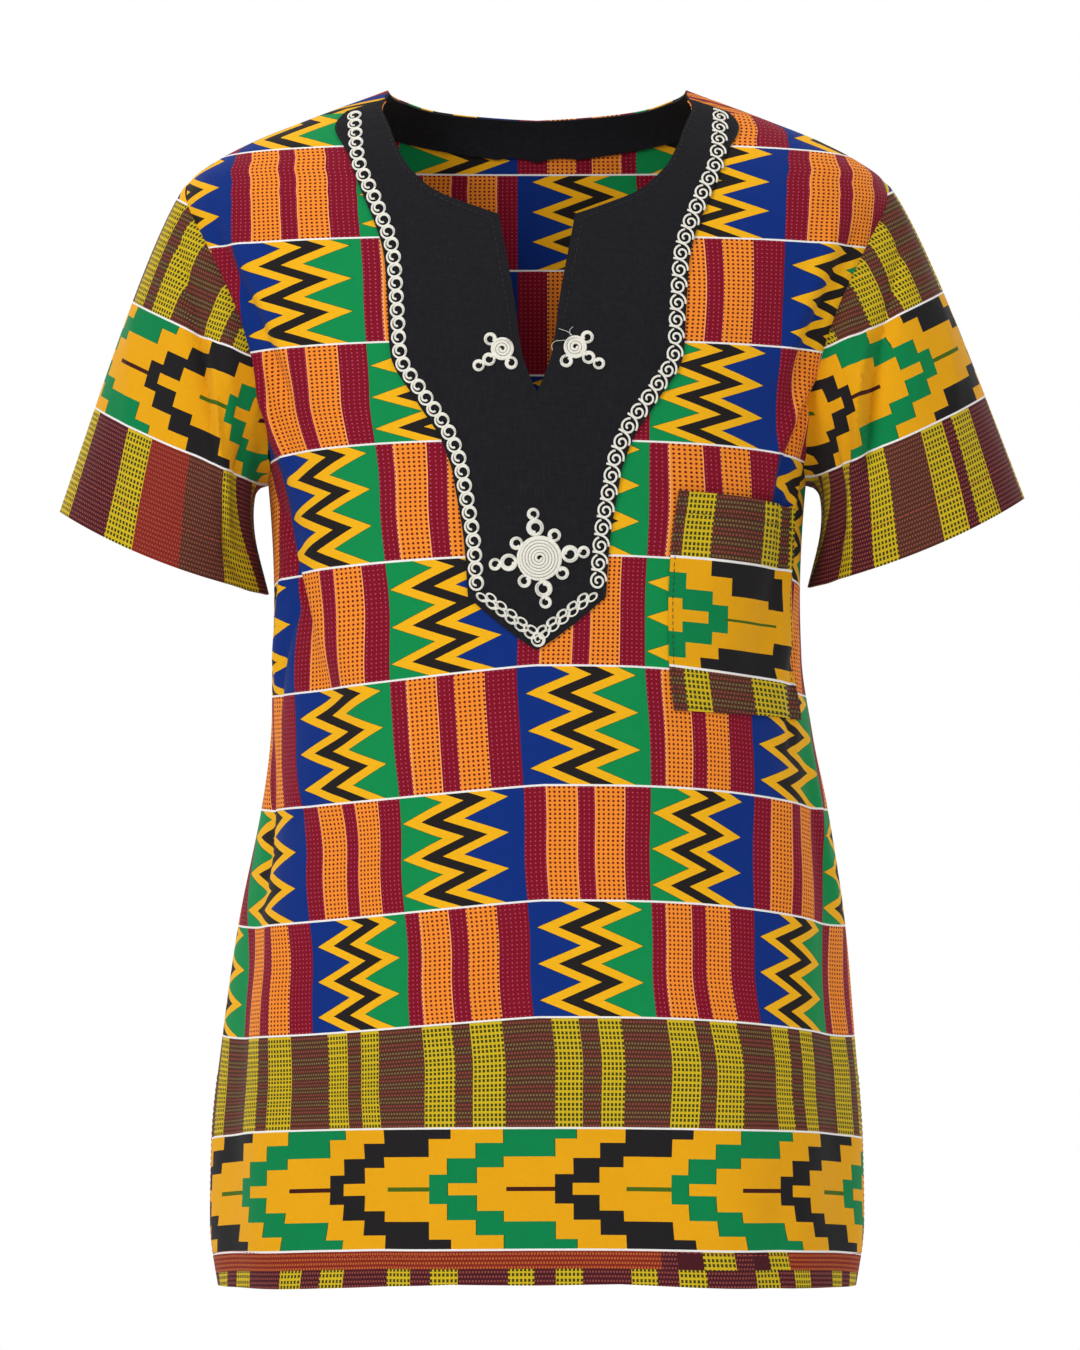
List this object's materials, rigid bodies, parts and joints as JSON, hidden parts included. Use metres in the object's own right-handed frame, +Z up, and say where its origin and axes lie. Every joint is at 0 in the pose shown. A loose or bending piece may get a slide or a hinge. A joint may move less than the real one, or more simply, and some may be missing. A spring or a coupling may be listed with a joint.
{
  "type": "half-sleeve top",
  "caption": "Half-sleeve printed cotton top in its worn hollow form, with a slit round neck, a braided black front yoke, side vents and a chest pocket.",
  "frame": {"origin": "midway between the two side neck points, at the height of the top of the shoulders, where the wearer's neck and shoulders hold the top", "axes": "+Z up along the wearer's body, +X towards the wearer's left, so the front faces -Y"},
  "size_m": [0.6173, 0.247, 0.7643],
  "materials": {
    "print_cotton": "plain-weave printed cotton, matt with a slight sheen",
    "black_cotton": "plain-weave black cotton, matt",
    "ivory_cord": "twisted ivory cotton cord, matt"
  },
  "bodies": {
    "root": {"front_panel": "print_cotton", "back_panel": "print_cotton", "sleeve_left": "print_cotton", "sleeve_right": "print_cotton", "chest_pocket": "print_cotton", "neck_yoke": "black_cotton", "back_neck_facing": "black_cotton", "yoke_braid_left": "ivory_cord", "yoke_braid_right": "ivory_cord", "rosette_centre": "ivory_cord", "rosette_left": "ivory_cord", "rosette_right": "ivory_cord"}
  },
  "joints": []
}
